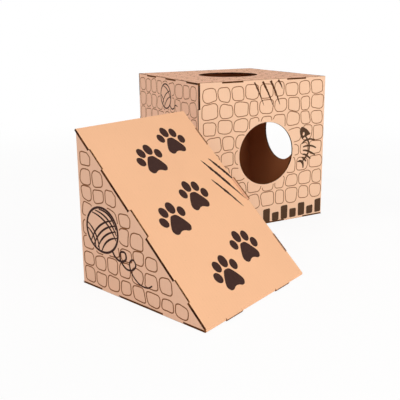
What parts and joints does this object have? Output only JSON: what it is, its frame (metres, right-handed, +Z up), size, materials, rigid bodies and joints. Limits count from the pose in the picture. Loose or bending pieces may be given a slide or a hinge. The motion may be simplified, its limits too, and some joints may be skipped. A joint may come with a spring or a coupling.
{
  "type": "cat condo",
  "caption": "Cat condo of slotted corrugated board: a cube den with round ways in, and a wedge ramp that stands beside it.",
  "frame": {"origin": "middle of the cube's base, on the floor", "axes": "+Z up, +X along the cube's front face to the right, +Y from the front to the back of the cube"},
  "size_m": [0.7544, 0.8584, 0.4],
  "materials": {
    "cube_front": "matt kraft liner on corrugated board, with laser-burnt cut edges",
    "cube_right": "matt kraft liner on corrugated board, with laser-burnt cut edges",
    "cube_back": "matt kraft liner on corrugated board, with laser-burnt cut edges",
    "cube_left": "matt kraft liner on corrugated board, with laser-burnt cut edges",
    "cube_top": "matt kraft liner on corrugated board, with laser-burnt cut edges",
    "cube_bottom": "matt kraft liner on corrugated board, with laser-burnt cut edges",
    "ramp_left_side": "matt kraft liner on corrugated board, with laser-burnt cut edges",
    "ramp_back": "matt kraft liner on corrugated board, with laser-burnt cut edges",
    "ramp_right_side": "matt kraft liner on corrugated board, with laser-burnt cut edges",
    "ramp_base": "matt kraft liner on corrugated board, with laser-burnt cut edges",
    "ramp_slope": "matt kraft liner on corrugated board, with laser-burnt cut edges"
  },
  "bodies": {
    "cube": {"cube_front": "cube_front", "cube_right": "cube_right", "cube_back": "cube_back", "cube_left": "cube_left", "cube_top": "cube_top", "cube_bottom": "cube_bottom"},
    "ramp": {"ramp_left_side": "ramp_left_side", "ramp_back": "ramp_back", "ramp_right_side": "ramp_right_side", "ramp_base": "ramp_base", "ramp_slope": "ramp_slope"}
  },
  "joints": [
    {"name": "ramp_slide", "type": "slide", "parent": "cube", "child": "ramp", "axis": [-0.9252, -0.3795, 0], "range_m": [-0.03, 0.25]}
  ]
}
